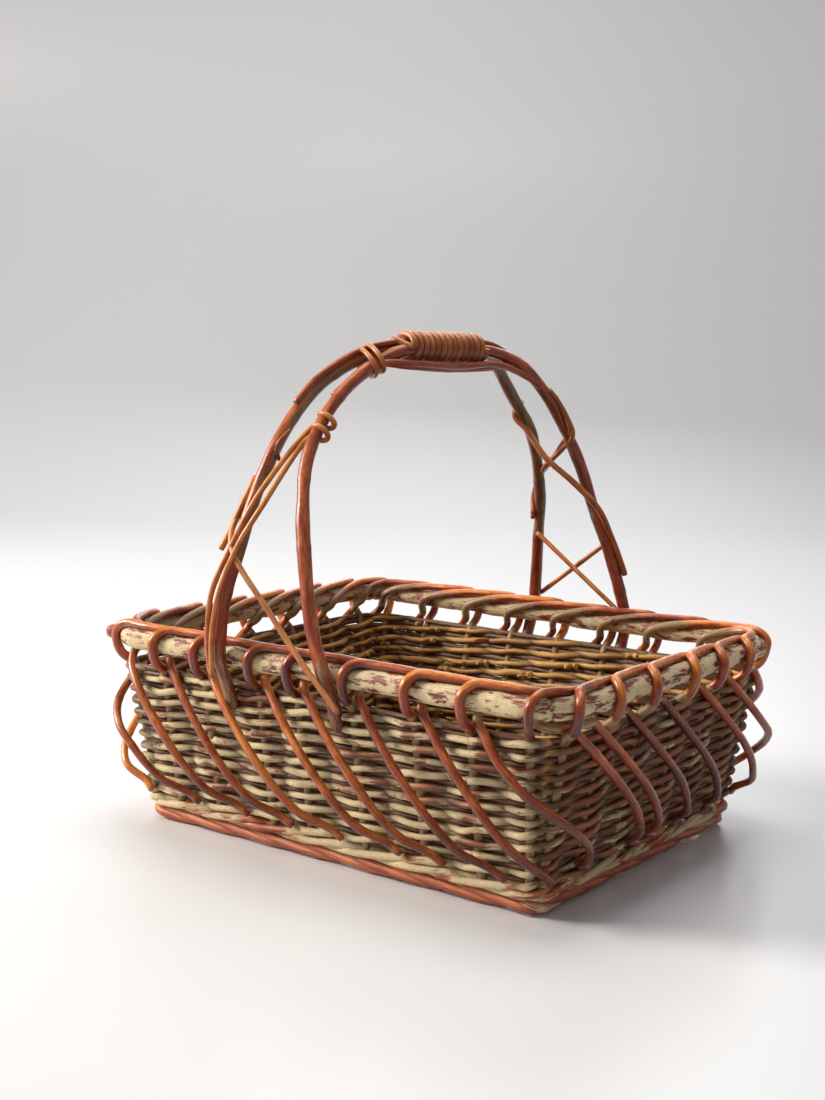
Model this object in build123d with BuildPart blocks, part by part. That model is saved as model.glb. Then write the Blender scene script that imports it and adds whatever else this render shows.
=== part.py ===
from build123d import *
import os
from math import sin, cos, asin, pi, radians

# Woven willow fruit basket.  Millimetres, +Z up, origin on the table under the middle of the
# basket, +X along the long side and -Y towards the front long side.

# Driving sizes
rim_length = 442.0          # between the axes of the two short rim rods
rim_width = 360.0           # between the axes of the two long rim rods
rim_height = 160.0          # rim rod axis above the table
rim_corner = 36.0           # corner radius of the rim rod axis
rim_rod_radius = 8.5
flare = 0.18                # lean of the wall, mm out for each mm up
weave_top = 135.0           # the weave stops here and leaves an open band below the rim
wall_thickness = 14.0       # one stake with a weaver on each side of it
foot_height = 12.0          # thick roped roll that rests on the table
foot_width = 13.0
wale_height = 9.0           # second roll on top of it
base_thickness = 8.0        # woven bottom
base_lift = 3.0             # underside of the bottom above the table
base_stick_radius = 2.6
base_stick_count = 7
stake_radius = 3.0
stakes_long = 9             # stakes on each long side, the left-hand corner one included
stakes_short = 6            # stakes on each short side
stake_pitch = 51.2          # between stakes on a long side
leg_radius = 5.0            # handle bows
grip_height = 408.0         # axis of the two bows under the grip binding
grip_length = 98.0
grip_turns = 13
binding_radius = 2.3        # thin rods wound round the handle
brace_radius = 2.3
clearance = 0.4             # free gap between rods that lie against each other
front_left_leg = 2.564      # handle feet, in stake pitches from the left front corner stake
front_right_leg = 4.713
back_left_leg = 4.791       # and from the right back corner stake
back_right_leg = 2.779

os.makedirs("parts", exist_ok=True)

half_length = rim_length / 2
half_width = rim_width / 2
arc = pi * rim_corner / 2
run_long = rim_length - 2 * rim_corner
run_short = rim_width - 2 * rim_corner
perimeter = 2 * run_long + 2 * run_short + 4 * arc
wall_bottom = foot_height + wale_height
bend_radius = (rim_rod_radius + stake_radius + clearance) * 1.1


def lean(z):
    """How far the middle of the wall stands outside the rim line at height z."""
    return -flare * (rim_height - z)


def around(s, out, z):
    """Point s along the rim line from the middle of the front left corner, out mm outside it."""
    s = (s + arc / 2) % perimeter
    cx, cy = half_length - rim_corner, half_width - rim_corner
    corners = [(-cx, -cy, 180, run_long), (cx, -cy, 270, run_short)]
    corners += [(cx, cy, 0, run_long), (-cx, cy, 90, run_short)]
    for x, y, turn, run in corners:
        if s <= arc:
            a = radians(turn + 90 * s / arc)
            reach = rim_corner + out
            return (x + reach * cos(a), y + reach * sin(a), z)
        s -= arc
        if s <= run:
            a = radians(turn + 90)
            reach = rim_corner + out
            return (x + reach * cos(a) - s * sin(a), y + reach * sin(a) + s * cos(a), z)
        s -= run
    return (0, 0, z)


def oblong(z, out):
    """Outline of the basket at height z, out mm outside the middle of the wall."""
    grow = lean(z) + out
    with BuildSketch(Plane.XY.offset(z)) as outline:
        RectangleRounded(rim_length + 2 * grow, rim_width + 2 * grow, max(rim_corner + grow, 1))
    return outline.sketch


def rod(points, radius):
    """One round rod bent along a line of points."""
    with BuildPart() as bent:
        with BuildLine() as path:
            Polyline(*points)
        with BuildSketch(Plane(path.line @ 0, z_dir=path.line % 0)) as section:
            Circle(radius)
        sweep(section.sketch, path=path.line, transition=Transition.RIGHT)
    return bent.part.solid()


def save(name, rods):
    """Separate rods of one kind, kept apart in one group."""
    group = Compound(label=name, children=rods) if len(rods) > 1 else rods[0]
    group.label = name
    export_step(group, "parts/" + name + ".step")


# Stake places along the rim line, the same on opposite sides
half_round = perimeter / 2
last_long = (stakes_long - 1) * stake_pitch
foot_turn = rim_corner + lean(foot_height + 1)
stake_room = 2 * rim_corner * asin((2 * stake_radius + clearance) / (2 * foot_turn))
corner_gap = max(0.61 * stake_pitch, stake_room)
short_pitch = (half_round - last_long - corner_gap) / stakes_short
one_round = [i * stake_pitch for i in range(stakes_long)]
one_round += [last_long + corner_gap + i * short_pitch for i in range(stakes_short)]
stake_places = one_round + [s + half_round for s in one_round]


def stake_at(i):
    """Place of stake i, going on past the start."""
    return stake_places[i % len(stake_places)] + perimeter * (i // len(stake_places))


def stake_line(i):
    """A stake: up through the wall, along the rim rod behind two more stakes, down to the foot."""
    s, near, last = stake_at(i), stake_at(i + 1), stake_at(i + 2)
    points = [around(s, lean(foot_height + 1), foot_height + 1)]
    free = weave_top + stake_radius / 3
    points.append(around(s, lean(free), free))
    for along, turn in [(s, -40), (s + 0.5, 0), (s + 3, 45), (s + 10, 90),
                        (0.5 * (s + near), 99), (near, 116), (0.65 * near + 0.35 * last, 132),
                        (0.2 * near + 0.8 * last, 162), (last + 1, 205), (last + 5, 250)]:
        a = radians(turn)
        points.append(around(along, bend_radius * cos(a), rim_height + bend_radius * sin(a)))
    drop = rim_height - wall_bottom
    for along, out, fall in [(9, 0.04, 0.122), (14, 0.5, 0.151), (22, 0.77, 0.23), (33, 1, 0.345),
                             (58, 1, 0.56), (80, 0.73, 0.74)]:
        points.append(around(last + along, out * bend_radius, rim_height - fall * drop))
    hug = wall_thickness / 2 + stake_radius + clearance
    for along, lift in [(94, 16), (112, 5.5), (128, 0.5)]:
        z = wall_bottom + lift
        points.append(around(last + along, lean(z) + hug + 0.16 * lift, z))
    return points


# Foot: a thick roped roll with a flat underside, and a second roll on top of it
with BuildPart() as foot_border:
    with BuildSketch(Plane.XY) as foot_plan:
        add(oblong(0, foot_width / 2 - 1))
        add(oblong(0, 1 - foot_width / 2), mode=Mode.SUBTRACT)
    extrude(amount=foot_height - clearance)
    fillet(foot_border.edges().filter_by(lambda e: e.length > 200), 3.2)
foot_border.part.label = "foot_border"
export_step(foot_border.part, "parts/foot_border.step")

with BuildPart() as foot_wale:
    with BuildSketch(Plane.XY.offset(foot_height)):
        add(oblong(foot_height, wall_thickness / 2))
        add(oblong(foot_height, -wall_thickness / 2), mode=Mode.SUBTRACT)
    extrude(amount=wale_height - clearance)
    fillet(foot_wale.edges().filter_by(lambda e: e.length > 200), 2.4)
    for s in stake_places:
        low = Vector(*around(s, lean(0), 0))
        rise = Vector(*around(s, lean(weave_top), weave_top)) - low
        with Locations(Plane(low, z_dir=rise)):
            Cylinder(stake_radius + clearance, weave_top, mode=Mode.SUBTRACT)
foot_wale.part.label = "foot_wale"
export_step(foot_wale.part, "parts/foot_wale.step")

# Bottom: cross-woven sheet with sticks running the long way through it
base_length = rim_length + 2 * (lean(0) - foot_width / 2)
base_width = rim_width + 2 * (lean(0) - foot_width / 2)
base_middle = base_lift + base_thickness / 2
stick_gap = base_width / base_stick_count
with BuildPart() as base_weave:
    with BuildSketch(Plane.XY.offset(base_lift)):
        Rectangle(base_length, base_width)
    extrude(amount=base_thickness)
    fillet(base_weave.edges().filter_by(Axis.Z), 4)
    with GridLocations(0, stick_gap, 1, base_stick_count):
        with Locations((0, 0, base_middle)):
            Cylinder(base_stick_radius + clearance / 2, base_length + 2, rotation=(0, 90, 0),
                     mode=Mode.SUBTRACT)
base_weave.part.label = "base_weave"
export_step(base_weave.part, "parts/base_weave.step")

with BuildPart() as base_sticks:
    with GridLocations(0, stick_gap, 1, base_stick_count):
        with Locations((0, 0, base_middle)):
            Cylinder(base_stick_radius, base_length - 1, rotation=(0, 90, 0))
base_sticks.part.label = "base_sticks"
export_step(base_sticks.part, "parts/base_sticks.step")

# Handle bows: a station is the sideways bulge from the straight line between foot and grip, the
# share of the half width and the share of the height
stem = rim_rod_radius + leg_radius + 0.7
out = half_width + stem
corner_stake = rim_corner - half_length - arc / 2
front_left = corner_stake + front_left_leg * stake_pitch
front_right = corner_stake + front_right_leg * stake_pitch
back_left = -corner_stake - back_left_leg * stake_pitch
back_right = -corner_stake - back_right_leg * stake_pitch


def height_at(rise):
    return rim_height + rise * (grip_height - rim_height)


def stations(foot_x, grip_x, side, places):
    """Points of one handle leg from the rim up to the grip."""
    return [Vector(foot_x + (grip_x - foot_x) * rise + bulge, side * depth * out, height_at(rise))
            for bulge, depth, rise in places]


def leg_foot(x, side, z):
    return Vector(x, side * (half_width + lean(z)), z)


def bow_line(front_x, front, grip, back, back_x):
    """One handle bow from its foot in the front wall over the grip to its foot in the back wall."""
    low, high = weave_top - 22, weave_top + 4
    elbow = rim_height - 0.92 * stem
    points = [leg_foot(front_x, -1, low), leg_foot(front_x, -1, high)]
    points += [(front_x, -half_width - 0.8 * stem, elbow)] + front + grip + back
    points += [(back_x, half_width + 0.8 * stem, elbow)]
    return points + [leg_foot(back_x, 1, high), leg_foot(back_x, 1, low)]


grip_front = Vector(-16, -grip_length / 2, grip_height)
grip_back = Vector(2, grip_length / 2, grip_height)
grip_way = (grip_back - grip_front).normalized()
grip_side = Vector(grip_way.Y, -grip_way.X, 0)
bow_gap = leg_radius + 2 * clearance


def grip_pair(side):
    return [grip_front + grip_side * (side * bow_gap), (grip_front + grip_back) * 0.5
            + grip_side * (side * bow_gap), grip_back + grip_side * (side * bow_gap)]


left_front = stations(front_left, grip_front.X - bow_gap, -1, [
    (-1, 1.0, 0.0), (-11.2, 0.978, 0.17), (-14.9, 0.935, 0.33), (-19.9, 0.875, 0.48),
    (-25.9, 0.76, 0.68), (-31.1, 0.55, 0.865), (-20.1, 0.36, 0.965)])
left_back = stations(back_left, grip_back.X - bow_gap, 1, [
    (-3.2, 0.39, 0.965), (-3.7, 0.59, 0.84), (3.8, 0.725, 0.715), (4.6, 0.825, 0.58),
    (3.9, 0.905, 0.43), (1.1, 0.955, 0.28), (1, 1.0, 0.0)])
right_front = stations(front_right, grip_front.X + bow_gap, -1, [
    (-3, 1.0, 0.0), (-14, 0.975, 0.13), (-18.5, 0.955, 0.25), (-28.7, 0.875, 0.48),
    (-35.8, 0.76, 0.66), (-28.5, 0.56, 0.85), (-15.5, 0.37, 0.955)])
right_back = stations(back_right, grip_back.X + bow_gap, 1, [
    (7.4, 0.41, 0.955), (8.7, 0.575, 0.85), (5.1, 0.70, 0.745), (1.9, 0.815, 0.6),
    (-1.5, 0.905, 0.42), (0.8, 0.955, 0.25), (0, 1.0, 0.0)])
left_bow = bow_line(front_left, left_front, grip_pair(-1), left_back, back_left)
right_bow = bow_line(front_right, right_front, grip_pair(1), right_back, back_right)
save("handle_bow_left", [rod(left_bow, leg_radius)])
save("handle_bow_right", [rod(right_bow, leg_radius)])

# Thin rods laid above and below the two bows through the grip
fill_radius = 2.4
fill_rise = 1.4 * leg_radius
ends = [Vector(-34, -0.365 * out, height_at(0.96)), grip_front, grip_back,
        Vector(5, 0.4 * out, height_at(0.965))]
save("grip_filler_rods", [rod([Vector(*e) + Vector(0, 0, fill_rise) for e in ends], fill_radius),
                          rod([Vector(*e) - Vector(0, 0, fill_rise) for e in ends], fill_radius)])


def winding(start, end, side, wide, high, turns, first=0.0):
    """Points of a rod wound round an oval, from start to end of its axis."""
    axis = Vector(*end) - Vector(*start)
    way = axis.normalized()
    side = (side - way * side.dot(way)).normalized()
    up = side.cross(way)
    steps = round(8 * turns)
    points = []
    for i in range(steps + 1):
        a = radians(first + 45 * i)
        middle = Vector(*start) + axis * (i / steps)
        points.append(middle + side * (wide * cos(a)) + up * (high * sin(a)))
    return points


corner_share = 1.09
wide = (bow_gap + leg_radius + clearance + binding_radius) * corner_share
high = (fill_rise + fill_radius + clearance + binding_radius) * corner_share
grip_coil = winding(grip_front + grip_way * 3, grip_back - grip_way * 3, grip_side, wide, high,
                    grip_turns)
save("grip_binding", [rod(grip_coil, binding_radius)])

# Two turns of thin rod that draw the bows together on the front shoulder
neck_start = Vector(-29, -0.325 * out, height_at(0.975))
neck_end = Vector(-33.5, -0.355 * out, height_at(0.963))
neck_coil = winding(neck_start, neck_end, Vector(-1, 0.1, 0), wide + 7, high + 1, 2)
save("shoulder_binding", [rod(neck_coil, binding_radius)])


def axis_at(bow, side, rise):
    """Point of a bow's axis at a share of its height, on its front or back half."""
    z = height_at(rise)
    line = [Vector(*p) for p in bow if side * Vector(*p).Y > 45]
    for low, high in zip(line, line[1:]):
        if min(low.Z, high.Z) <= z <= max(low.Z, high.Z) and low.Z != high.Z:
            middle = low + (high - low) * ((z - low.Z) / (high.Z - low.Z))
    return middle


def beside(bow, side, rise, angle, gap=0.0):
    """A point where a thin rod passes a bow, gap mm off it in the given direction."""
    away = leg_radius + brace_radius + 1.1 + gap
    return axis_at(bow, side, rise) + Vector(away * cos(radians(angle)), away * sin(radians(angle)))


# Thin rods tied from leg to leg; each starts with a turn round a bow
knot_radius = (leg_radius + binding_radius + clearance) * corner_share
right_knot = [Vector(*p) for p in right_bow][7:9]
knot_way = right_knot[1] - right_knot[0]
knot_low = winding(right_knot[0] + knot_way * 0.42, right_knot[0] + knot_way * 0.3,
                   Vector(1, 0, 0), knot_radius, knot_radius, 1, 180)
knot_high = winding(right_knot[0] + knot_way * 0.62, right_knot[0] + knot_way * 0.5,
                    Vector(1, 0, 0), knot_radius, knot_radius, 1, 180)
lashing_a = knot_high + [beside(left_bow, -1, rise, angle, gap) for rise, angle, gap in [
    (0.548, 318, 9.1), (0.363, 270, 3.1), (0.21, 233, 4), (0.06, 210, 2.6), (-0.052, 204, 2)]]
lashing_b = knot_low + [beside(left_bow, -1, rise, angle, gap) for rise, angle, gap in [
    (0.492, 327, 16.3), (0.363, 304, 9.8), (0.21, 281, 4.7), (0.06, 264, 1.4),
    (-0.052, 262, 2.7)]]
save("leg_lashings", [rod(lashing_a, binding_radius), rod(lashing_b, binding_radius)])


brace = [Vector(front_left + share * (front_right - front_left), -out - gap, height_at(rise))
         for share, gap, rise in [(0.2, 0.5, 0.298), (0.473, 3, 0.185), (0.773, 6.5, 0.06),
                                  (0.973, 8.2, -0.016), (1.164, 8.2, -0.093)]]
save("front_brace", [rod(brace, brace_radius)])



def across(rise, share, push):
    """Point from the left bow to the right one at the back, push mm out of their plane."""
    left, right = axis_at(left_bow, 1, rise), axis_at(right_bow, 1, rise)
    return left + (right - left) * share + Vector(0, push, 0)


long_way = left_back[2] - left_back[1]
long_tie = winding(left_back[1] + long_way * 0.25, left_back[1] + long_way * 0.5,
                   Vector(1, 0, 0), knot_radius, knot_radius, 1)
long_tie += [across(rise, share, push) for rise, share, push in [
    (0.637, 0.456, -16.3), (0.532, 1, -17), (0.444, 1.245, -14), (0.347, 1.254, -8.7),
    (0.25, 1.163, -10)]]
save("long_tie", [rod(long_tie, brace_radius)])

short_way = right_back[2] - right_back[1]
short_tie = winding(right_back[1] + short_way * 0.3, right_back[1] + short_way * 0.6,
                    Vector(-1, 0, 0), knot_radius, knot_radius, 1)
short_tie += [across(0.677, 0.512, 11.7)]
short_tie += [beside(left_bow, 1, 0.524, 120, 3.6), beside(left_bow, 1, 0.355, 120)]
save("short_tie", [rod(short_tie, brace_radius)])

save("back_braces", [rod([beside(left_bow, 1, 0.315, 290), beside(right_bow, 1, 0.048, 250)],
                         brace_radius),
                     rod([beside(right_bow, 1, 0.298, 100), beside(left_bow, 1, 0.065, 70)],
                         brace_radius)])

# Walls: four woven panels that meet at the corners, bored for the stakes and the handle legs
leg_places = [(front_left, -1), (front_right, -1), (back_left, 1), (back_right, 1)]
reach = rim_length


def wall_panel(corners, legs):
    """The woven wall between two corner seams."""
    loft([oblong(wall_bottom, wall_thickness / 2), oblong(weave_top, wall_thickness / 2)])
    loft([oblong(wall_bottom, -wall_thickness / 2), oblong(weave_top, -wall_thickness / 2)],
         mode=Mode.SUBTRACT)
    with BuildSketch() as plan:
        Polygon(*corners, align=None)
    extrude(plan.sketch, amount=rim_height, mode=Mode.INTERSECT)
    for s in stake_places:
        low = Vector(*around(s, lean(0), 0))
        rise = Vector(*around(s, lean(weave_top), weave_top)) - low
        with Locations(Plane(low, z_dir=rise)):
            Cylinder(stake_radius + clearance, 3 * weave_top, mode=Mode.SUBTRACT)
    for x, side in legs:
        low = leg_foot(x, side, weave_top - 24)
        rise = leg_foot(x, side, weave_top) - low
        with Locations(Plane(low, z_dir=rise)):
            Cylinder(leg_radius + clearance, 60, align=(Align.CENTER, Align.CENTER, Align.MIN),
                     mode=Mode.SUBTRACT)


seam = clearance / 2
skew = half_length - half_width
front_plan = [(-reach, skew - reach - seam), (reach, skew - reach - seam), (skew - seam, 0),
              (seam - skew, 0)]
right_plan = [(reach, skew - reach + seam), (reach, reach - skew - seam), (skew + seam, 0)]

with BuildPart() as front_wall_weave:
    wall_panel(front_plan, leg_places[:2])
front_wall_weave.part.label = "front_wall_weave"
export_step(front_wall_weave.part, "parts/front_wall_weave.step")

with BuildPart() as back_wall_weave:
    wall_panel([(x, -y) for x, y in front_plan], leg_places[2:])
back_wall_weave.part.label = "back_wall_weave"
export_step(back_wall_weave.part, "parts/back_wall_weave.step")

with BuildPart() as right_wall_weave:
    wall_panel(right_plan, [])
right_wall_weave.part.label = "right_wall_weave"
export_step(right_wall_weave.part, "parts/right_wall_weave.step")

with BuildPart() as left_wall_weave:
    wall_panel([(-x, y) for x, y in right_plan], [])
left_wall_weave.part.label = "left_wall_weave"
export_step(left_wall_weave.part, "parts/left_wall_weave.step")

# Rim: four thick rods, one a side, that meet in the middle of the corners
def rim_rod(s, run):
    with BuildPart() as thick:
        with BuildLine() as path:
            turn = [around(s + clearance / 2, 0, rim_height), around(s + arc / 4, 0, rim_height),
                    around(s + arc / 2, 0, rim_height)]
            far = [around(s + arc / 2 + run, 0, rim_height),
                   around(s + 3 * arc / 4 + run, 0, rim_height),
                   around(s + arc + run - clearance / 2, 0, rim_height)]
            ThreePointArc(*turn)
            Line(turn[2], far[0])
            ThreePointArc(*far)
        with BuildSketch(Plane(path.line @ 0, z_dir=path.line % 0)) as section:
            Circle(rim_rod_radius)
        sweep(section.sketch, path=path.line)
    return thick.part.solid()


save("rim_rods_long", [rim_rod(0, run_long), rim_rod(half_round, run_long)])
save("rim_rods_short", [rim_rod(run_long + arc, run_short),
                        rim_rod(half_round + run_long + arc, run_short)])

# Stakes: each is one rod, wall upright, rim loop and slanting tail in one
first = 0
for side, count in [("front", stakes_long), ("right", stakes_short), ("back", stakes_long),
                    ("left", stakes_short)]:
    save(side + "_stakes", [rod(stake_line(first + i), stake_radius) for i in range(count)])
    first += count
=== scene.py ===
import bpy
import math
import random
from mathutils import Matrix, Vector, noise


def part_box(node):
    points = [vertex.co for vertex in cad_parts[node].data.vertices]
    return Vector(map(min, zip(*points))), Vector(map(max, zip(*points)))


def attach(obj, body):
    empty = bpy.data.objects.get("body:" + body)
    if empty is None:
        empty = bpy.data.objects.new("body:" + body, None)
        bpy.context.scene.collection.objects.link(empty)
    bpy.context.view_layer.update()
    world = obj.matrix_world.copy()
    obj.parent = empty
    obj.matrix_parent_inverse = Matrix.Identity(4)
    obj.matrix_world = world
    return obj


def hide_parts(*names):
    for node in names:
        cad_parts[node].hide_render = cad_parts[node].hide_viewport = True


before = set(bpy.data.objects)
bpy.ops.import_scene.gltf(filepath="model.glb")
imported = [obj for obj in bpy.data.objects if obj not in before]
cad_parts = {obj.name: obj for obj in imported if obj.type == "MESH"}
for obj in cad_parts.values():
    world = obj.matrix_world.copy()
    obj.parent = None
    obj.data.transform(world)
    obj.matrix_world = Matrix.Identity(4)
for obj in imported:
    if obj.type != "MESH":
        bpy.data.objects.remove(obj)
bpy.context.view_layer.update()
MM = 0.001
rng = random.Random(11)


def node_box(node):
    """Lowest and highest corner of a CAD node, in millimetres."""
    low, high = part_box(node)
    return low / MM, high / MM


# Sizes read from the frame, in millimetres
rim_low, rim_high = node_box("rim_rods_short")
wall_low, wall_high = node_box("front_wall_weave")
rim_rod_radius = (rim_high.z - rim_low.z) / 2
rim_height = (rim_high.z + rim_low.z) / 2
half_length = rim_high.x - rim_rod_radius
half_width = node_box("rim_rods_long")[1].y - rim_rod_radius
weave_top = wall_high.z
wall_bottom = wall_low.z
foot_height = node_box("foot_border")[1].z

# Sizes that the boxes do not give, in millimetres
rim_corner = 36.0
flare = 0.18  # how far the wall leans out per unit of height
stake_radius = 3.1
stake_thin, stake_thick, stake_tip = 3.9, 4.4, 3.2
weaver_radius = 3.05
packing_radius = 2.5
row_pitch = 5.0
leg_radius = 5.0
thin_radius = 2.3
leg_clearance = 0.7
grip_height = 408.0
grip_length = 98.0
stakes_long, stakes_short = 9, 6
stake_pitch = 51.2
cut_ends = 90
border_middle, border_lowest, border_run = 6.6, 4.6, 128
wale_radius = 3.2
base_sticks, stick_radius, base_pitch = 7, 3.0, 4.7

arc = math.pi * rim_corner / 2
run_long = 2 * half_length - 2 * rim_corner
run_short = 2 * half_width - 2 * rim_corner
perimeter = 2 * run_long + 2 * run_short + 4 * arc
half_round = perimeter / 2


def lean(z):
    """How far the middle of the wall stands outside the rim line at height z."""
    return -flare * (rim_height - z)


def around(s, out, z):
    """Point s along the rim line from the middle of the front left corner, out outside it."""
    s = (s + arc / 2) % perimeter
    cx, cy = half_length - rim_corner, half_width - rim_corner
    reach = rim_corner + out
    for x, y, turn, run in ((-cx, -cy, 180, run_long), (cx, -cy, 270, run_short),
                            (cx, cy, 0, run_long), (-cx, cy, 90, run_short)):
        if s <= arc:
            a = math.radians(turn + 90 * s / arc)
            return Vector((x + reach * math.cos(a), y + reach * math.sin(a), z))
        s -= arc
        if s <= run:
            a = math.radians(turn + 90)
            return Vector((x + reach * math.cos(a) - s * math.sin(a),
                           y + reach * math.sin(a) + s * math.cos(a), z))
        s -= run
    return Vector((0, 0, z))


def limited(value):
    """The value held between 0 and 1."""
    return max(0.0, min(1.0, value))


# Rod making: every rod is a round tube with its own grain running along it
def smooth(points, step, closed=False):
    """Evenly spaced points on a smooth line through the given points."""
    p = [Vector(q) for q in points]
    n = len(p)
    dense = []
    for i in range(n if closed else n - 1):
        a = p[(i - 1) % n] if closed or i > 0 else p[0] * 2 - p[1]
        b, c = p[i], p[(i + 1) % n]
        d = p[(i + 2) % n] if closed or i + 2 < n else c * 2 - b
        t1 = max((b - a).length, 1e-6) ** 0.5
        t2 = t1 + max((c - b).length, 1e-6) ** 0.5
        t3 = t2 + max((d - c).length, 1e-6) ** 0.5
        cuts = max(2, int((c - b).length / step * 3))
        for j in range(cuts):
            t = t1 + (t2 - t1) * j / cuts
            a1 = a * ((t1 - t) / t1) + b * (t / t1)
            a2 = b * ((t2 - t) / (t2 - t1)) + c * ((t - t1) / (t2 - t1))
            a3 = c * ((t3 - t) / (t3 - t2)) + d * ((t - t2) / (t3 - t2))
            b1 = a1 * ((t2 - t) / t2) + a2 * (t / t2)
            b2 = a2 * ((t3 - t) / (t3 - t1)) + a3 * ((t - t1) / (t3 - t1))
            dense.append(b1 * ((t2 - t) / (t2 - t1)) + b2 * ((t - t1) / (t2 - t1)))
    if not closed:
        dense.append(p[-1])
    length = sum((b - a).length for a, b in zip(dense, dense[1:]))
    count = max(3, round(length / step))
    even, travelled, want = [dense[0]], 0.0, length / count
    for a, b in zip(dense, dense[1:]):
        leg = (b - a).length
        while leg > 0 and travelled + leg >= want * len(even) and len(even) < count:
            even.append(a + (b - a) * ((want * len(even) - travelled) / leg))
        travelled += leg
    if not closed:
        even.append(dense[-1])
    return even


class Bundle:
    """Rods gathered into one mesh, with the data their materials read."""

    def __init__(self):
        self.verts, self.faces = [], []
        self.grain, self.shade, self.worn, self.inner, self.deep = [], [], [], [], []

    def rod(self, points, radius, step=3.0, sides=10, tip=None, shade=None, worn=0.0, inner=None,
            lumps=0.05, closed=False, blunt=0.8, deep=0.0, girth=None):
        """One tube along a smooth line through the points, with slight knots and lumps."""
        path = smooth(points, step, closed)
        shade = rng.random() if shade is None else shade
        seed = rng.random() * 500
        start = len(self.verts)
        n = len(path)
        total = sum((b - a).length for a, b in zip(path, path[1:]))
        way = (path[1] - path[0]).normalized()
        side = way.orthogonal().normalized()
        gone = 0.0
        knots = [rng.uniform(25, 60)]
        while knots[-1] < total:
            knots.append(knots[-1] + rng.uniform(45, 95))
        for i, p in enumerate(path):
            if i:
                gone += (p - path[i - 1]).length
            ahead = path[(i + 1) % n] if closed else path[min(i + 1, n - 1)]
            behind = path[i - 1] if closed or i else path[0]
            way = (ahead - behind).normalized()
            side = (side - way * side.dot(way)).normalized()
            up = way.cross(side)
            share = gone / max(total, 1e-6)
            r = radius + ((tip if tip is not None else radius) - radius) * share
            if girth:
                r *= girth(share)
            r *= 1 + lumps * noise.noise(Vector((gone * 0.03, seed, 0)))
            r *= 1 + 0.07 * max((math.exp(-((gone - k) / 3.0) ** 2) for k in knots), default=0)
            if not closed and i in (0, n - 1):
                r *= blunt
            w = worn(p, share) if callable(worn) else worn
            for j in range(sides):
                a = math.tau * j / sides
                normal = side * math.cos(a) + up * math.sin(a)
                dents = normal * 0.9 + Vector((0, seed, gone * 0.04))
                wobble = 1 + lumps * 0.8 * noise.noise(dents)
                self.verts.append((p + normal * (r * wobble)) * MM)
                self.grain.append((r * math.cos(a) * MM + seed, r * math.sin(a) * MM, gone * MM))
                self.shade.append(shade)
                self.worn.append(w)
                self.inner.append(inner(p, normal) if callable(inner) else (inner or 0.0))
                self.deep.append(deep(p + normal * r) if callable(deep) else deep)
        rings = n if closed else n - 1
        for i in range(rings):
            for j in range(sides):
                a = start + i * sides + j
                b = start + i * sides + (j + 1) % sides
                c = start + ((i + 1) % n) * sides + (j + 1) % sides
                d = start + ((i + 1) % n) * sides + j
                self.faces.append((a, b, c, d))
        if not closed:
            self.faces.append(tuple(start + j for j in reversed(range(sides))))
            self.faces.append(tuple(start + (n - 1) * sides + j for j in range(sides)))

    def finish(self, name, material, slot, *nodes):
        """Turn the rods into one piece that stands in for the CAD nodes."""
        mesh = bpy.data.meshes.new(name)
        mesh.from_pydata(self.verts, [], self.faces)
        for label, values in (("shade", self.shade), ("worn", self.worn), ("inner", self.inner),
                              ("deep", self.deep)):
            mesh.attributes.new(label, "FLOAT", "POINT").data.foreach_set("value", values)
        flat = [c for g in self.grain for c in g]
        mesh.attributes.new("grain", "FLOAT_VECTOR", "POINT").data.foreach_set("vector", flat)
        mesh.polygons.foreach_set("use_smooth", [len(f) == 4 for f in self.faces])
        mesh.materials.append(material)
        piece = bpy.data.objects.new(name, mesh)
        bpy.context.collection.objects.link(piece)
        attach(piece, "root")
        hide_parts(*nodes)


# Material helpers, each of which adds one node and gives its output
def add(tree, kind, **settings):
    node = tree.nodes.new("ShaderNode" + kind)
    for key, value in settings.items():
        setattr(node, key, value)
    return node


def feed(tree, socket, value):
    if isinstance(value, bpy.types.NodeSocket):
        tree.links.new(value, socket)
    else:
        socket.default_value = value


def maths(tree, operation, a, b=0.0, c=0.0):
    node = add(tree, "Math", operation=operation)
    for socket, value in zip(node.inputs, (a, b, c)):
        feed(tree, socket, value)
    return node.outputs[0]


def blend_colour(tree, factor, a, b):
    node = add(tree, "Mix", data_type="RGBA")
    feed(tree, node.inputs[0], factor)
    feed(tree, node.inputs[6], a)
    feed(tree, node.inputs[7], b)
    return node.outputs[2]


def span(tree, value, low, high, out_low=0.0, out_high=1.0):
    """Soft step of the value between low and high."""
    node = add(tree, "MapRange", interpolation_type="SMOOTHSTEP")
    for socket, v in zip(node.inputs, (value, low, high, out_low, out_high)):
        feed(tree, socket, v)
    return node.outputs[0]


def speckle(tree, vector, stretch, scale, detail=4.0, rough=0.6):
    """Noise stretched along the rod."""
    mapping = add(tree, "Mapping")
    mapping.inputs["Scale"].default_value = (1, 1, stretch)
    feed(tree, mapping.inputs["Vector"], vector)
    node = add(tree, "TexNoise")
    feed(tree, node.inputs["Vector"], mapping.outputs[0])
    node.inputs["Scale"].default_value = scale
    node.inputs["Detail"].default_value = detail
    node.inputs["Roughness"].default_value = rough
    return node.outputs["Fac"]


def group(name, *outputs):
    """A shared node group that gives out the named values."""
    tree = bpy.data.node_groups.new(name, "ShaderNodeTree")
    for label in outputs:
        tree.interface.new_socket(label, in_out="OUTPUT", socket_type="NodeSocketFloat")
    return tree, tree.nodes.new("NodeGroupOutput")


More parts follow.
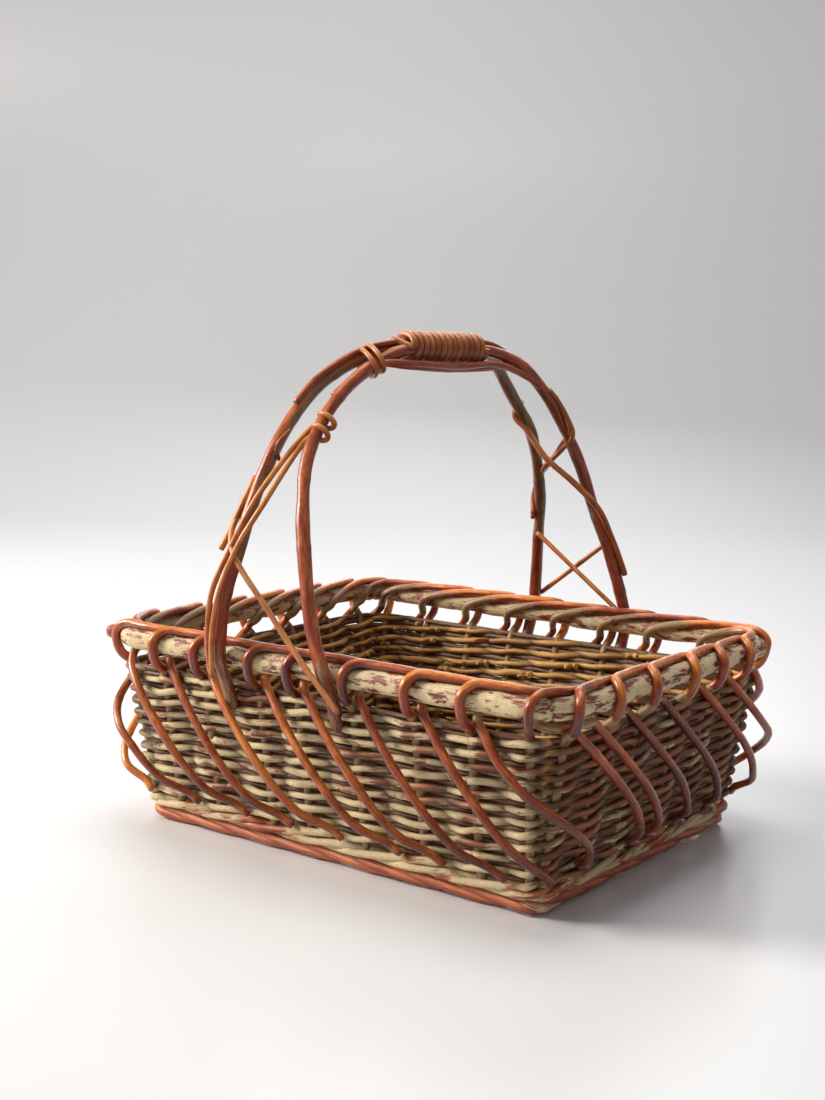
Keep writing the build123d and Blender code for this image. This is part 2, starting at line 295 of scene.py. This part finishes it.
def make_grain_group():
    """What every willow rod shares: streaks, patches, flecks and the rod's own values."""
    tree, out = group("Rod grain", "Streaks", "Patches", "Flecks", "Shade", "Worn", "Inner",
                      "Deep", "Height")
    vector = add(tree, "Attribute", attribute_name="grain").outputs["Vector"]
    streaks = speckle(tree, vector, 0.045, 1500, 5)
    patches = speckle(tree, vector, 0.35, 150, 4, 0.65)
    flecks = speckle(tree, vector, 0.3, 900, 3, 0.7)
    height = maths(tree, "MULTIPLY_ADD", streaks, 0.7, maths(tree, "MULTIPLY", flecks, 0.5))
    feed(tree, out.inputs["Streaks"], streaks)
    feed(tree, out.inputs["Patches"], patches)
    feed(tree, out.inputs["Flecks"], flecks)
    for label in ("Shade", "Worn", "Inner", "Deep"):
        value = add(tree, "Attribute", attribute_name=label.lower()).outputs["Fac"]
        feed(tree, out.inputs[label], value)
    feed(tree, out.inputs["Height"], height)
    return tree


def make_top_light_group():
    """How far a point faces up, 0 to 1, which lightens up-facing sides as painted light."""
    tree, out = group("Painted top light", "Painted light")
    normal = add(tree, "NewGeometry").outputs["Normal"]
    parts = add(tree, "SeparateXYZ")
    feed(tree, parts.inputs[0], normal)
    feed(tree, out.inputs["Painted light"], span(tree, parts.outputs["Z"], -0.5, 0.75))
    return tree


GRAIN = make_grain_group()
TOP_LIGHT = make_top_light_group()


def rgb(red, green, blue):
    """Colour from everyday 0 to 255 values."""
    return tuple((c / 255 / 12.92 if c <= 10 else ((c / 255 + 0.055) / 1.055) ** 2.4)
                 for c in (red, green, blue)) + (1,)


def willow(name, dark, mid, light, paint, paint_amount, gloss, inner=None, inner_dark=None,
           coat=0.0, patchy=0.5, crevice_shade=(0.07, 0.04, 0.02, 1)):
    """Barked willow with leftovers of old paint; painted light on top, painted shade between rods.
    """
    material = bpy.data.materials.new(name)
    material.use_nodes = True
    tree = material.node_tree
    tree.nodes.clear()
    grain = add(tree, "Group", node_tree=GRAIN)
    top_light = add(tree, "Group", node_tree=TOP_LIGHT)
    g = grain.outputs
    tone = maths(tree, "MULTIPLY_ADD", g["Shade"], 0.45, maths(tree, "MULTIPLY", g["Patches"], 0.9))
    tone = maths(tree, "SUBTRACT", tone, 0.38)
    # Painted light: up-facing sides lean to the light colour, down-facing sides to the dark one.
    tone = maths(tree, "MULTIPLY_ADD", top_light.outputs["Painted light"], 0.42, tone)
    colour = blend_colour(tree, span(tree, tone, 0.05, 0.5), dark, mid)
    colour = blend_colour(tree, span(tree, tone, 0.42, 0.85), colour, light)
    colour = blend_colour(tree, span(tree, g["Streaks"], 0.56, 0.4, 0.0, 0.5), colour, dark)
    amount = maths(tree, "MULTIPLY_ADD", g["Worn"], 0.45, paint_amount)
    patch = maths(tree, "MULTIPLY", g["Patches"], patchy)
    patch = maths(tree, "MULTIPLY_ADD", g["Streaks"], 0.6, patch)
    cover = maths(tree, "ADD", maths(tree, "SUBTRACT", patch, 0.3 + patchy / 2), amount)
    mask = span(tree, cover, -0.04, 0.05)
    dusty = blend_colour(tree, span(tree, g["Flecks"], 0.62, 0.4, 0.0, 0.45), paint,
                         [c * 0.5 for c in paint[:3]] + [1])
    colour = blend_colour(tree, mask, colour, dusty)
    if inner:
        raw = blend_colour(tree, span(tree, tone, 0.1, 0.7), inner_dark, inner)
        raw = blend_colour(tree, span(tree, g["Streaks"], 0.58, 0.42, 0.0, 0.5), raw, inner_dark)
        colour = blend_colour(tree, g["Inner"], colour, raw)
    # Painted shade: darker where the rod lies deep between the weavers.
    colour = blend_colour(tree, maths(tree, "MULTIPLY", g["Deep"], 0.8), colour, crevice_shade)
    shader = add(tree, "BsdfPrincipled")
    feed(tree, shader.inputs["Base Color"], colour)
    rough = maths(tree, "MULTIPLY_ADD", mask, 0.3, gloss)
    rough = maths(tree, "MULTIPLY_ADD", g["Flecks"], 0.25, maths(tree, "SUBTRACT", rough, 0.12))
    feed(tree, shader.inputs["Roughness"], rough)
    shader.inputs["Coat Weight"].default_value = coat
    shader.inputs["Coat Roughness"].default_value = 0.3
    bump = add(tree, "Bump")
    bump.inputs["Strength"].default_value = 0.5
    bump.inputs["Distance"].default_value = 0.0006
    feed(tree, bump.inputs["Height"], maths(tree, "MULTIPLY_ADD", mask, 0.35, g["Height"]))
    feed(tree, shader.inputs["Normal"], bump.outputs[0])
    output = add(tree, "OutputMaterial")
    feed(tree, output.inputs["Surface"], shader.outputs[0])
    return material


CREAM = rgb(226, 202, 158)
DUST = rgb(160, 130, 88)
MAROON = rgb(84, 25, 14)
bark = willow("Willow bark", rgb(74, 20, 8), rgb(168, 66, 20), rgb(250, 148, 60), DUST, -0.34, 0.27,
              coat=0.4)
handle_bark = willow("Handle bark", MAROON, rgb(154, 64, 36), rgb(222, 120, 58), DUST, -0.25, 0.3,
                     coat=0.25, inner=rgb(158, 128, 88), inner_dark=rgb(74, 50, 32))
thin_bark = willow("Thin rod bark", rgb(104, 46, 18), rgb(176, 94, 38), rgb(236, 154, 78), DUST,
                   -0.35, 0.36, coat=0.2)
rim_paint = willow("Painted rim rod", rgb(96, 40, 32), rgb(150, 74, 60), rgb(180, 98, 78), CREAM,
                   0.02, 0.48, patchy=1.6)
weave_paint = willow("Weave", rgb(100, 54, 30), rgb(156, 92, 58), rgb(196, 128, 88), CREAM,
                     -0.09, 0.5, inner=rgb(228, 176, 98), inner_dark=rgb(122, 74, 30), patchy=1.1)
foot_bark = willow("Foot rods", rgb(112, 48, 28), rgb(184, 92, 56), rgb(218, 130, 82), CREAM,
                   -0.08, 0.46, patchy=1.0)
base_bark = willow("Base rods", rgb(84, 54, 28), rgb(130, 92, 52), rgb(166, 126, 80), CREAM,
                   -0.3, 0.55)

# Where the stakes stand, with the small unevenness of hand work
last_long = (stakes_long - 1) * stake_pitch
corner_gap = 0.61 * stake_pitch
short_pitch = (half_round - last_long - corner_gap) / stakes_short
front_shift = (0, 1, -4, 4, -7, -3, 4, 3, 3)
right_shift = (0, -5, -4, 6, 1, -3)
corner_skip = 27  # how much further the tails that turn the front right corner start

# A stake's slanting end: how far along the rim and out from it, at what height, and
# then how far along and how high above the bottom of the wall
tail = ((7, -2, 144), (15, 1.2, 136), (31, 6.8, 120), (50, 11.2, 102), (67, 13.2, 86),
        (82, 12.6, 71), (95, 9.0, 57), (107, 2.5, 45))
tail_tip = ((121, 13), (135, 6))
tail_fall = 139  # height from the rim rod to the end of the tail
side_places = {
    "front": [i * stake_pitch + d for i, d in enumerate(front_shift)],
    "right": [last_long + corner_gap + i * short_pitch + d for i, d in enumerate(right_shift)],
    "back": [half_round + i * stake_pitch + rng.uniform(-3, 3) for i in range(stakes_long)],
    "left": [half_round + last_long + corner_gap + i * short_pitch + rng.uniform(-3, 3)
             for i in range(stakes_short)]}
stakes = [s for side in ("front", "right", "back", "left") for s in side_places[side]]


def stake_at(i):
    """Place of stake i, going on past the start."""
    return stakes[i % len(stakes)] + perimeter * (i // len(stakes))


def stake_path(i):
    """Up through the wall, along the rim rod behind two more stakes, and slanting to the foot."""
    s, near, last = stake_at(i), stake_at(i + 1), stake_at(i + 2)
    wrap = rim_rod_radius + 3.6
    points = [around(s, lean(z), z) for z in (14, 50, 90, 118)]
    points.append(around(s, lean(weave_top) + 0.5, weave_top))
    points.append(around(s, wrap * 0.62, rim_height - wrap * 1.2))
    lift = rng.uniform(-0.2, 0.8)
    for along, turn in ((s, -14), (s + 0.6, 18), (s + 3, 50), (s + 8, 80), (0.5 * (s + near), 98),
                        (near, 113), (0.65 * near + 0.35 * last, 131),
                        (0.3 * near + 0.7 * last, 153), (last - 1, 184), (last + 2.5, 216),
                        (last + 5.5, 248)):
        a = math.radians(turn)
        r = wrap + (lift if 60 < turn < 190 else 0)
        points.append(around(along, r * math.cos(a), rim_height + r * math.sin(a)))
    shift, belly = rng.uniform(-3, 3), rng.uniform(-1.5, 1.0)
    if last_long < last % perimeter < half_round:
        last += corner_skip
        points.append(around(last - 14, 1, rim_height - wrap - 1))
    for along, out, z in tail:
        fallen = (160 - z) / tail_fall
        swell = belly * math.sin(math.pi * fallen)
        points.append(around(last + along + shift * fallen, out + swell, z))
    hug = 7 + stake_radius
    for along, up in tail_tip:
        z = wall_bottom + up
        points.append(around(last + along + shift, lean(z) + hug, z))
    return points


def stake_worn(p, share):
    """Old paint is left where the rod is tucked away, and dirt where it nears the foot."""
    if share < 0.27:
        return 1.0
    if share < 0.60:
        return -0.2 + 1.1 * limited((share - 0.36) / 0.16)
    near_rim = limited((p.z - 124) / 14)
    near_foot = limited((48 - p.z) / 24)
    return max(0.55 * near_rim, 0.6 * near_foot, -0.2)


def make_stakes():
    """One piece of upright rods for each side of the basket."""
    first = 0
    for side, count in (("front", stakes_long), ("right", stakes_short),
                        ("back", stakes_long), ("left", stakes_short)):
        bundle = Bundle()
        for i in range(first, first + count):
            bundle.rod(stake_path(i), rng.uniform(stake_thin, stake_thick), 2.6, 12,
                       tip=stake_tip, worn=stake_worn, lumps=0.09)
        bundle.finish(side.capitalize() + "_stakes", bark, "bark_rod", side + "_stakes")
        first += count


def weave_phase(s, row):
    """Angle whose cosine is +1 where the weaver passes outside a stake and -1 where inside."""
    s = s % perimeter
    for i, a in enumerate(stakes):
        b = stake_at(i + 1)
        t = s if s >= stakes[0] else s + perimeter
        if a <= t < b:
            return math.pi * ((t - a) / (b - a) + i + row)
    return 0.0


def off_wall(p):
    """How far a point stands outside the middle of the wall."""
    return max(abs(p.y) - half_width, abs(p.x) - half_length) - lean(p.z)


def paint_at(p):
    """More old paint on the front and left walls, least on the right one."""
    if p.x - half_length > -p.y - half_width and p.x - half_length > p.y - half_width:
        return -0.2
    return 0.6 if p.y < 0 else 0.3


def crevice(p):
    """How deep a point lies between the weavers, 0 to 1: how much painted shade it gets."""
    return limited(1 - (abs(off_wall(p)) - 1.0) / 5.5)


def facing(p, normal):
    """How far a point of the weave looks into the basket, 0 to 1."""
    flat = Vector((p.x / half_length, p.y / half_width, 0))
    if abs(flat.y) > abs(flat.x):
        out = Vector((0, math.copysign(1, p.y), 0))
    else:
        out = Vector((math.copysign(1, p.x), 0, 0))
    return limited(0.5 - 0.55 * normal.dot(out) - 0.09 * off_wall(p))


def row_height(row):
    """Height of a row of weavers above the table."""
    return wall_bottom + weaver_radius + row * row_pitch


def weaver_path(s, length, row, radius):
    """In front of one stake and behind the next, with both ends tucked inside."""
    points = []
    wave = rng.random() * 90
    steps = max(4, int(length / 5.5))
    for j in range(steps + 1):
        at = s + length * j / steps
        phase = weave_phase(at, row)
        z = row_height(row)
        z += 1.9 * noise.noise(Vector((at * 0.02, row * 3.1, 4)))
        z += 1.7 * noise.noise(Vector((at * 0.05, wave, 9)))
        z += 1.7 * math.sin(phase)
        reach = (stake_radius + radius - 0.2) * math.cos(phase)
        if j in (0, steps):
            reach = -stake_radius - radius - 2
        reach += 0.7 * noise.noise(Vector((at * 0.05, wave, 2)))
        points.append(around(at, lean(z) + reach, z))
    return points


def packing_path(row):
    """Round the middle of the wall between two rows."""
    points = []
    steps = 170
    for j in range(steps):
        at = perimeter * j / steps
        z = row_height(row + 0.5) + 0.8 * noise.noise(Vector((at * 0.03, row, 1)))
        points.append(around(at, lean(z) + 1.2 * noise.noise(Vector((at * 0.04, row, 5))), z))
    return points


def make_weave():
    """Rows of weavers, the rods packed between them, made dark with painted shade, and cut ends
    that stick out inside.
    """
    rows = int((weave_top + 3 - wall_bottom) / row_pitch)
    lower, upper = Bundle(), Bundle()
    for row in range(rows):
        bundle = lower if row < rows / 2 else upper
        s = rng.uniform(0, 300)
        end = s + perimeter
        while s < end:
            length = min(rng.uniform(190, 380), end - s + 20)
            radius = rng.uniform(weaver_radius - 0.5, weaver_radius + 0.25)
            points = weaver_path(s, length, row, radius)
            shown = rng.uniform(-0.5, 0.3)
            bundle.rod(points, radius, 3.4, 8, tip=radius * 0.85, inner=facing, deep=crevice,
                       lumps=0.14, worn=lambda p, share: shown + paint_at(p)
                       + 0.9 * noise.noise(p * 0.03))
            s += length - 12
    for row in range(rows):
        bundle = lower if row < rows / 2 else upper
        # The packing rods sit deep in the wall and get painted shade all over.
        bundle.rod(packing_path(row), packing_radius, 8, 6, closed=True, deep=0.8, shade=0.3)
    for _ in range(cut_ends):
        s, z = rng.uniform(0, perimeter), rng.uniform(wall_bottom + 8, weave_top - 6)
        deep = rng.uniform(9, 15)
        bundle = lower if z < (wall_bottom + weave_top) / 2 else upper
        bundle.rod([around(s, lean(z), z), around(s + 5, lean(z) - deep * 0.6, z + 0.5),
                    around(s + 9, lean(z) - deep, z + rng.uniform(-1, 3))],
                   rng.uniform(1.3, 2.0), 3, 6, inner=1.0, lumps=0.1)
    for name, bundle, *walls in (
            ("Lower_weave", lower, "front_wall_weave", "right_wall_weave"),
            ("Upper_weave", upper, "back_wall_weave", "left_wall_weave")):
        bundle.finish(name, weave_paint, "weave_outside", *walls)


def make_rim():
    """Four thick rods round the rim, and the cut stub at the front left corner."""
    turn = run_long + arc
    for name, starts, run, node in (
            ("Long_rim_rods", (0, half_round), run_long, "rim_rods_long"),
            ("Short_rim_rods", (turn, half_round + turn), run_short, "rim_rods_short")):
        bundle = Bundle()
        for s in starts:
            length = run + arc
            points = [around(s + length * j / 60, 0.5 * math.sin(j * 0.9), rim_height
                             + 0.6 * math.sin(j * 0.5 + s)) for j in range(61)]

            def barrel(share, s=s, length=length):
                """The rod stands fuller between the loops that hold it."""
                at = (s + length * share) % perimeter
                near = min(abs((at - q + half_round) % perimeter - half_round) for q in stakes)
                return 0.95 + 0.07 * min(1.0, near / 22)

            bundle.rod(points, rim_rod_radius, 3, 20, worn=0.1, lumps=0.07, blunt=0.85,
                       girth=barrel)
        if node == "rim_rods_long":
            bundle.rod([around(6, 3, rim_height), around(-6, 4, rim_height + 1),
                        Vector((-half_length - 14, 9 - half_width, rim_height + 1))], 6.0, 3, 14,
                       worn=-0.8, lumps=0.15)
        bundle.finish(name, rim_paint, "rim_paint", node)


def make_foot():
    """A low roll of thick rods, each laid slanting over the next, and a roped roll above it."""
    bundle = Bundle()
    for s in stakes:
        points = []
        for j in range(15):
            t = j / 14
            a = math.radians(150 - 250 * t)
            z = border_middle + 2.6 * math.sin(a)
            points.append(around(s + border_run * t, lean(0) + 1 + 3.2 * math.cos(a),
                                 max(z, border_lowest)))
        bundle.rod(points, rng.uniform(4.0, 4.6), 4, 10, tip=3.4, worn=rng.uniform(-0.6, 0.35),
                   shade=rng.uniform(0.45, 1.0))
    bundle.finish("Foot_border", foot_bark, "foot_rod", "foot_border")
    bundle = Bundle()
    steps = 300
    for strand in range(3):
        points = []
        for j in range(steps):
            s = perimeter * j / steps
            a = math.tau * (10 * j / steps + strand / 3)
            z = (foot_height + wall_bottom) / 2 + 1.0 + 2.6 * math.sin(a)
            points.append(around(s, lean(z) + 1.5 + 4.4 * math.cos(a), z))
        bundle.rod(points, wale_radius, 4, 8, closed=True, shade=0.4 + 0.2 * strand,
                   worn=lambda p, share: 0.35 + 0.9 * noise.noise(p * 0.02))
    bundle.finish("Foot_wale", foot_bark, "foot_rod", "foot_wale")


def make_base():
    """Bottom of thin weavers over and under seven long sticks."""
    low, high = node_box("base_weave")
    middle = (low.z + high.z) / 2
    bundle = Bundle()
    gap = (high.y - low.y) / base_sticks
    for i in range(base_sticks):
        y = low.y + gap * (i + 0.5)
        points = [(low.x + (high.x - low.x) * j / 12, y + rng.uniform(-1, 1), middle)
                  for j in range(13)]
        bundle.rod(points, stick_radius, 10, 8)
    bundle.finish("Base_sticks", base_bark, "base_willow", "base_sticks")
    bundle = Bundle()
    rows = int((high.x - low.x) / base_pitch)
    for row in range(rows):
        x = low.x + 2 + row * (high.x - low.x - 4) / (rows - 1)
        points = []
        steps = base_sticks * 4
        for j in range(steps + 1):
            y = low.y + (high.y - low.y) * j / steps
            swing = math.cos(math.pi * ((y - low.y) / gap - 0.5 + row))
            points.append((x + rng.uniform(-0.4, 0.4), y, middle + 2.9 * swing))
        bundle.rod(points, rng.uniform(1.9, 2.3), 6, 6, worn=rng.uniform(-0.2, 0.2))
    bundle.finish("Base_weave", base_bark, "base_willow", "base_weave")


# Handle: two bows side by side, held together by bindings, ties and braces
leg_out = half_width + (rim_rod_radius + leg_radius + leg_clearance)
bow_gap = leg_radius + 0.3


def station(x, depth, rise):
    """Point of a bow: its share of the way out to the legs and of the way up to the grip."""
    return Vector((x, depth * leg_out, rim_height + rise * (grip_height - rim_height)))


grip_front = Vector((-16, -grip_length / 2, grip_height))
grip_back = Vector((2, grip_length / 2, grip_height))
grip_way = (grip_back - grip_front).normalized()
grip_side = Vector((grip_way.y, -grip_way.x, 0))


def bow(front_x, front, side, shoulder, back, back_x):
    """Line of one bow; each foot slants down past the rim rod into the weave."""
    foot = [(11.8, 150), (7.5, 140), (3.2, 130), (-1, 117)]
    points = [Vector((front_x, -half_width - off, z)) for off, z in reversed(foot)] + front
    points += [grip_front + grip_side * side * bow_gap,
               (grip_front + grip_back) * 0.5 + grip_side * side * bow_gap,
               grip_back + grip_side * side * bow_gap, shoulder] + back
    return points + [Vector((back_x, half_width + off, z)) for off, z in foot]


left_bow = bow(-82, [station(-83, -1, 0), station(-83, -0.978, 0.17), station(-77, -0.935, 0.33),
                     station(-73, -0.875, 0.48), station(-67, -0.76, 0.68),
                     station(-61, -0.55, 0.865), station(-44, -0.36, 0.965)], -1,
               station(-8, 0.39, 0.965),
               [station(-12, 0.59, 0.84), station(-8, 0.725, 0.715), station(-11, 0.825, 0.58),
                station(-16, 0.905, 0.43), station(-23, 0.955, 0.28), station(-31, 1, 0)], -32)
right_bow = bow(28, [station(25, -1, 0), station(9, -0.975, 0.13), station(0, -0.955, 0.25),
                     station(-19, -0.875, 0.48), station(-33, -0.76, 0.66),
                     station(-33, -0.56, 0.85), station(-24, -0.37, 0.955)], 1,
                station(18, 0.41, 0.955),
                [station(26, 0.575, 0.85), station(29, 0.70, 0.745), station(35, 0.815, 0.6),
                 station(43, 0.905, 0.42), station(56, 0.955, 0.25), station(71, 1, 0)], 71)


def winding(start, end, side, wide, high, turns, first=0.0):
    """Points of a rod wound round an oval along an axis."""
    axis = end - start
    way = axis.normalized()
    side = (side - way * side.dot(way)).normalized()
    up = side.cross(way)
    steps = round(10 * turns)
    points = []
    for i in range(steps + 1):
        a = math.radians(first + 36 * i)
        points.append(start + axis * (i / steps) + side * wide * math.cos(a)
                      + up * high * math.sin(a))
    return points


def beside(line, side, z, angle, gap=7.6):
    """A point next to a bow at height z, on its front or back half."""
    half = [p for p in line if side * p.y > 45]
    for a, b in zip(half, half[1:]):
        if min(a.z, b.z) <= z <= max(a.z, b.z) and a.z != b.z:
            middle = a + (b - a) * ((z - a.z) / (b.z - a.z))
    turn = math.radians(angle)
    return middle + Vector((gap * math.cos(turn), gap * math.sin(turn), 0))


def thin_piece(name, rods, material, node):
    """One piece of a few thin rods, each given as its points and settings."""
    bundle = Bundle()
    for points, radius, step, sides, shade in rods:
        bundle.rod(points, radius, step, sides, shade=shade)
    slot = "thin_rod" if material is thin_bark else "bark_rod"
    bundle.finish(name, material, slot, node)


def make_bows():
    """The two thick rods of the handle."""
    for name, line, node in (("Left_handle_bow", left_bow, "handle_bow_left"),
                             ("Right_handle_bow", right_bow, "handle_bow_right")):
        def rough_side(p, normal, line=line):
            """Grey unpeeled strip along the side of the rod that faces the other bow."""
            if p.z < 235:
                return 0.0
            turn = 1.0 if line is left_bow else -1.0
            toward = normal.x * turn + 0.5 * normal.y * (1 if p.y < 0 else -1) - 0.2 * normal.z
            ragged = 0.5 * noise.noise(p * 0.11)
            return limited((toward + ragged - 0.15) * 2.5)

        bundle = Bundle()
        bundle.rod(line, leg_radius * 1.08, 3, 16, worn=lambda p, share: 0.5 if p.z < 172 else -0.1,
                   lumps=0.13, shade=0.45, inner=rough_side)
        bundle.finish(name, handle_bark, "bark_rod", node)


def make_grip():
    """Rods that fill out the grip, the coil round them and the binding on the shoulder."""
    lift = Vector((0, 0, 1))
    front_end = [station(-64, -0.66, 0.79), station(-58, -0.555, 0.872), station(-41, -0.38, 0.965)]
    back_end = [station(5, 0.38, 0.975), station(9, 0.47, 0.935)]
    rods = [([q + lift * 7 for q in front_end] + [grip_front + lift * 7.2, grip_back + lift * 7.2]
             + [q + lift * 6 for q in back_end], 2.8, 4, 10, 0.3)]
    for drift, low, reach in ((6, -13.5, 0.0), (12.5, -11, 0.05)):
        sag = Vector((drift, 0, low))
        start = [station(-47 + drift, -0.56, 0.845), station(-33 + drift, -0.38, 0.95)]
        end = [station(10 + drift, 0.40 + reach, 0.96 - reach),
               station(14 + drift, 0.48 + reach, 0.925 - reach)]
        rods.append((start + [grip_front + sag, (grip_front + grip_back) / 2 + sag - lift * 2,
                              grip_back + sag] + end, 3.0, 4, 10, 0.5))
    thin_piece("Grip_filler_rods", rods, handle_bark, "grip_filler_rods")

    wide = bow_gap + leg_radius + 2.2
    high = 10.2
    rise = lift * 2.5
    coil = winding(grip_front + grip_way * 2 + rise, grip_back - grip_way * 12 + rise, grip_side,
                   wide, high, 13)
    coil = [grip_front + grip_way * -6 + lift * 9 - grip_side * 6] + coil
    thin_piece("Grip_binding", [(coil, 3.1, 2.5, 10, 0.35)], thin_bark, "grip_binding")

    neck = winding(station(-30, -0.33, 0.975), station(-37, -0.385, 0.945), Vector((-1, 0.1, 0)),
                   wide + 4.5, high + 0.5, 2)
    thin_piece("Shoulder_binding", [(neck, thin_radius, 2.5, 10, 0.6)], thin_bark,
               "shoulder_binding")


def make_lashings():
    """Two rods knotted round the right bow that run down beside the left front leg."""
    ring = leg_radius + thin_radius + 0.1
    a, b = right_bow[8:10]
    high_knot = winding(a.lerp(b, 0.62), a.lerp(b, 0.5), Vector((1, 0, 0)), ring, ring, 1, 180)
    low_knot = winding(a.lerp(b, 0.42), a.lerp(b, 0.3), Vector((1, 0, 0)), ring, ring, 1, 180)
    high_run = high_knot + [(-58, -174, 296), beside(left_bow, -1, 250, 270, 10.5),
                            (-89, -leg_out - 3.5, 212), (-92.5, -leg_out - 4, 175),
                            (-91.5, -leg_out - 1.5, 147)]
    low_run = low_knot + [(-52, -182, 282), (-66, -leg_out, 250), (-79, -leg_out - 6.5, 212),
                          (-84, -leg_out - 8.2, 175), (-83.5, -leg_out - 8.2, 147)]
    split = [beside(left_bow, -1, 305, 190, 7.5), beside(left_bow, -1, 282, 205, 8.5),
             beside(left_bow, -1, 262, 200, 12), beside(left_bow, -1, 246, 200, 15)]
    twig = [beside(left_bow, -1, 318, 20, 7.5), (-57, -158, 330), (-50, -150, 343)]
    rods = [(high_run, thin_radius, 3, 10, 0.8), (low_run, thin_radius, 3, 10, 0.9),
            (split, 2.6, 3, 10, 0.9), (twig, 1.6, 3, 8, 0.0)]
    thin_piece("Leg_lashings", rods, thin_bark, "leg_lashings")


def make_ties():
    """The slanting brace at the front and the ties and crossed braces at the back."""
    brace = [beside(left_bow, -1, 284, 170, 9), beside(left_bow, -1, 262, 225, 10),
             beside(left_bow, -1, 246, 290, 11.5), (-60, -leg_out - 0.5, 234),
             (-30, -leg_out - 3, 206), (3, -leg_out - 6.5, 175), (25, -leg_out - 8.2, 156),
             (46, -leg_out - 8.2, 137)]
    thin_piece("Front_brace", [(brace, thin_radius, 3, 10, 0.55)], thin_bark, "front_brace")

    tie = [beside(left_bow, 1, 364, 60, 7), beside(left_bow, 1, 350, 200, 7.5),
           beside(left_bow, 1, 338, 280, 8)]
    tie += [(10, 138, 314), (36, 150, 290), (55, 161, 268)]
    tie += [beside(right_bow, 1, 240, 10, 8), beside(right_bow, 1, 222, 15, 8.5),
            beside(right_bow, 1, 204, 20, 10)]
    thin_piece("Long_tie", [(tie, 2.9, 3, 10, 0.4)], thin_bark, "long_tie")

    rods = []
    for gap, drop in ((0, 0), (6, 5)):
        tie = [beside(right_bow, 1, 376 - drop, 30, 7), beside(right_bow, 1, 356 - drop, 10, 8),
               beside(right_bow, 1, 340 - drop, -20, 8.5), (22, 150, 326 - drop),
               (6 - gap, 156, 308 - drop), beside(left_bow, 1, 290 - drop, 120, 8 + gap / 3),
               beside(left_bow, 1, 272 - drop, 170, 7.8),
               beside(left_bow, 1, 256 - drop, 250, 7.8)]
        rods.append((tie, 2.5, 3, 10, 0.3))
    thin_piece("Short_tie", rods, thin_bark, "short_tie")

    crossed = ([beside(left_bow, 1, 238, 290), beside(right_bow, 1, 172, 250)],
               [beside(right_bow, 1, 234, 100), beside(left_bow, 1, 176, 70)])
    thin_piece("Back_braces", [(line, thin_radius, 4, 10, None) for line in crossed], thin_bark,
           "back_braces")


def make_studio():
    """Pale floor that curves up behind the object, and soft lights."""
    profile = [(-4.0, 0.0), (2.2, 0.0)]
    for i in range(1, 13):
        a = math.radians(90 * i / 12)
        profile.append((2.2 + 1.2 * math.sin(a), 1.2 - 1.2 * math.cos(a)))
    profile.append((3.4, 6.0))
    verts = [(x, y, z) for y, z in profile for x in (-9, 9)]
    faces = [(2 * i, 2 * i + 1, 2 * i + 3, 2 * i + 2) for i in range(len(profile) - 1)]
    mesh = bpy.data.meshes.new("Floor")
    mesh.from_pydata(verts, [], faces)
    mesh.polygons.foreach_set("use_smooth", [True] * len(faces))
    floor = bpy.data.objects.new("Floor", mesh)
    floor.rotation_euler = (0, 0, 0.63)
    bpy.context.collection.objects.link(floor)
    material = bpy.data.materials.new("Pale table")
    material.use_nodes = True
    shader = material.node_tree.nodes["Principled BSDF"]
    shader.inputs["Base Color"].default_value = (0.80, 0.805, 0.82, 1)
    shader.inputs["Roughness"].default_value = 0.32
    mesh.materials.append(material)
    world = bpy.data.worlds.new("Studio")
    bpy.context.scene.world = world
    world.use_nodes = True
    world.node_tree.nodes["Background"].inputs[0].default_value = (0.97, 0.965, 1.0, 1)
    world.node_tree.nodes["Background"].inputs[1].default_value = 0.27
    for name, place, size, energy, colour in (
            ("Window", (-2.2, -1.4, 1.45), 1.0, 104, (1.0, 0.95, 0.87)),
            ("Overhead", (-0.2, 0.4, 2.4), 1.5, 30, (1.0, 0.97, 0.92)),
            ("Rear_fill", (-1.2, 2.0, 1.4), 1.4, 14, (0.92, 0.95, 1.0))):
        light = bpy.data.lights.new(name, "AREA")
        light.size, light.energy, light.color = size, energy, colour
        lamp = bpy.data.objects.new(name, light)
        lamp.location = place
        aim = Vector((0, 0, 0.15)) - Vector(place)
        lamp.rotation_euler = aim.to_track_quat("-Z", "Y").to_euler()
        bpy.context.collection.objects.link(lamp)


def make_camera():
    """Camera at the front right, a little above the rim."""
    yaw, pitch, roll = 0.631, 0.126, 0.024
    ahead = Vector((-math.sin(yaw) * math.cos(pitch), math.cos(yaw) * math.cos(pitch),
                    -math.sin(pitch)))
    right = Vector((math.cos(yaw), math.sin(yaw), 0))
    up = right.cross(ahead)
    right, up = (right * math.cos(roll) + up * math.sin(roll),
                 up * math.cos(roll) - right * math.sin(roll))
    data = bpy.data.cameras.new("Camera")
    data.sensor_width = 36
    data.lens = 51.6
    data.clip_start = 0.05
    camera = bpy.data.objects.new("Camera", data)
    camera.matrix_world = Matrix((right, up, -ahead)).transposed().to_4x4()
    camera.location = (0.769, -1.1028, 0.4077)
    bpy.context.collection.objects.link(camera)
    bpy.context.scene.camera = camera


make_stakes()
make_weave()
make_rim()
make_foot()
make_base()
make_bows()
make_grip()
make_lashings()
make_ties()
make_studio()
make_camera()
bpy.context.scene.view_settings.view_transform = "Standard"
